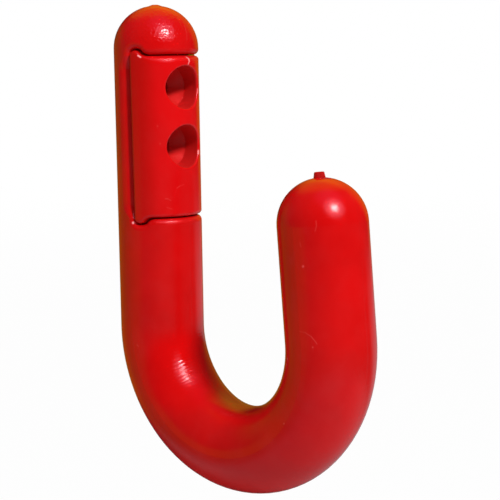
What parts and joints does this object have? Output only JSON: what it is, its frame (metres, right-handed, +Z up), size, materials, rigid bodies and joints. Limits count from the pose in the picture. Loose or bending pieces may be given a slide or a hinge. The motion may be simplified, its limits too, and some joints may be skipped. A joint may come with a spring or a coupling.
{
  "type": "coat hook",
  "caption": "Wall-mounted coat hook: a round rod bent into a deep J, with a screw block let into the front of its stem.",
  "frame": {"origin": "on the wall face, midway between the two screws", "axes": "+Y into the wall, so the hook stands out along -Y; +Z up along the stem; +X across the hook"},
  "size_m": [0.02, 0.0713, 0.1126],
  "materials": {
    "moulding": "glossy red moulded plastic",
    "block": "glossy red moulded plastic, a little brighter than the hook"
  },
  "bodies": {
    "root": {"hook_body": "moulding", "screw_block": "block"}
  },
  "joints": []
}
